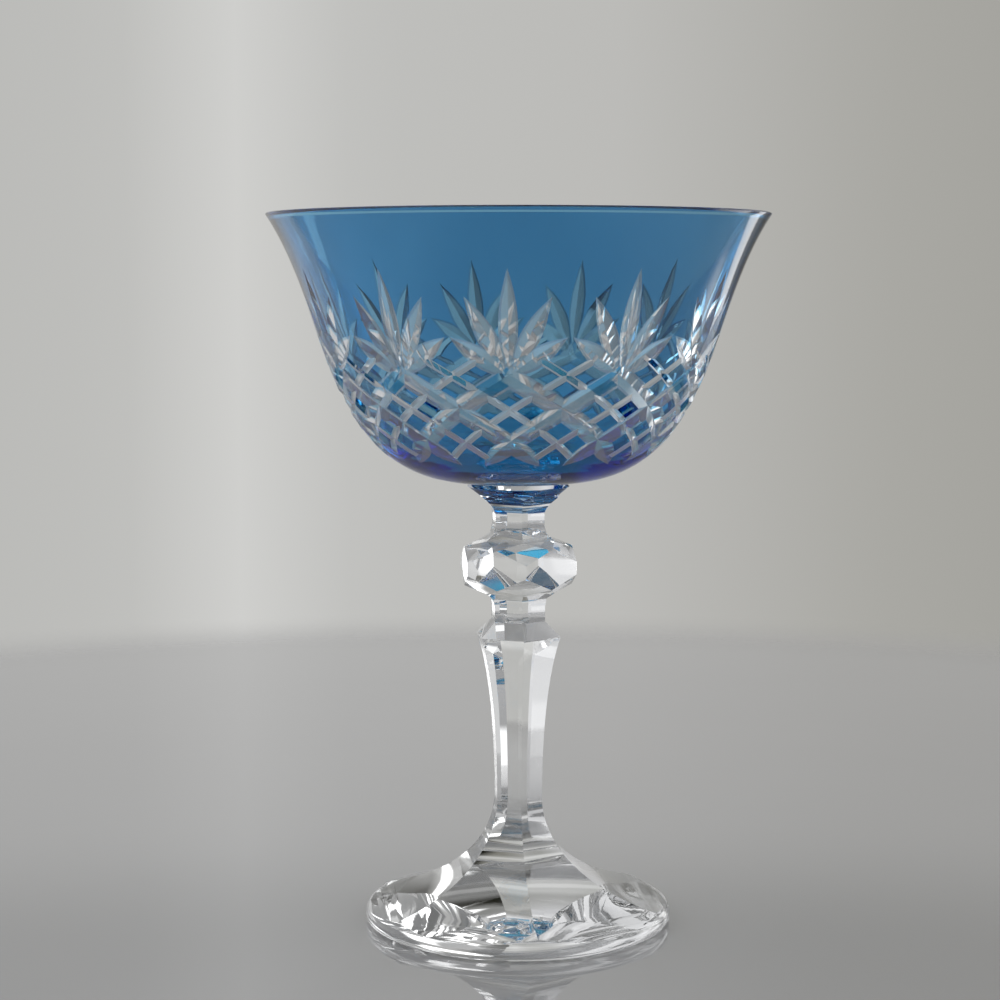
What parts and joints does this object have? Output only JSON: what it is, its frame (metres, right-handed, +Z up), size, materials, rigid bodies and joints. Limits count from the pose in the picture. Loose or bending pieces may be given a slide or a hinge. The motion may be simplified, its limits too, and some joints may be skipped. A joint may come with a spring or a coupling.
{
  "type": "champagne saucer glass",
  "caption": "Stemmed glass with a wide flared bowl of clear crystal cased in blue, cut with fans over a diamond band, on a clear six-sided stem with a faceted knop and a round panelled foot.",
  "frame": {"origin": "centre of the foot on the plane that the glass stands on", "axes": "+Z up along the stem; -Y towards the first fan of the cut pattern"},
  "size_m": [0.1108, 0.1108, 0.1575],
  "materials": {
    "blue_casing": "polished blue overlay glass",
    "lining_crystal": "polished clear crystal",
    "stem_crystal": "cut and polished clear crystal",
    "foot_crystal": "cut and polished clear crystal"
  },
  "bodies": {
    "root": {"casing_rim_field": "blue_casing", "casing_diamond_01": "blue_casing", "casing_diamond_02": "blue_casing", "casing_diamond_03": "blue_casing", "casing_diamond_04": "blue_casing", "casing_diamond_05": "blue_casing", "casing_diamond_06": "blue_casing", "casing_diamond_07": "blue_casing", "casing_diamond_08": "blue_casing", "casing_diamond_09": "blue_casing", "casing_diamond_10": "blue_casing", "casing_diamond_11": "blue_casing", "casing_base_cup": "blue_casing", "crystal_lining": "lining_crystal", "stem": "stem_crystal", "foot": "foot_crystal"}
  },
  "joints": []
}
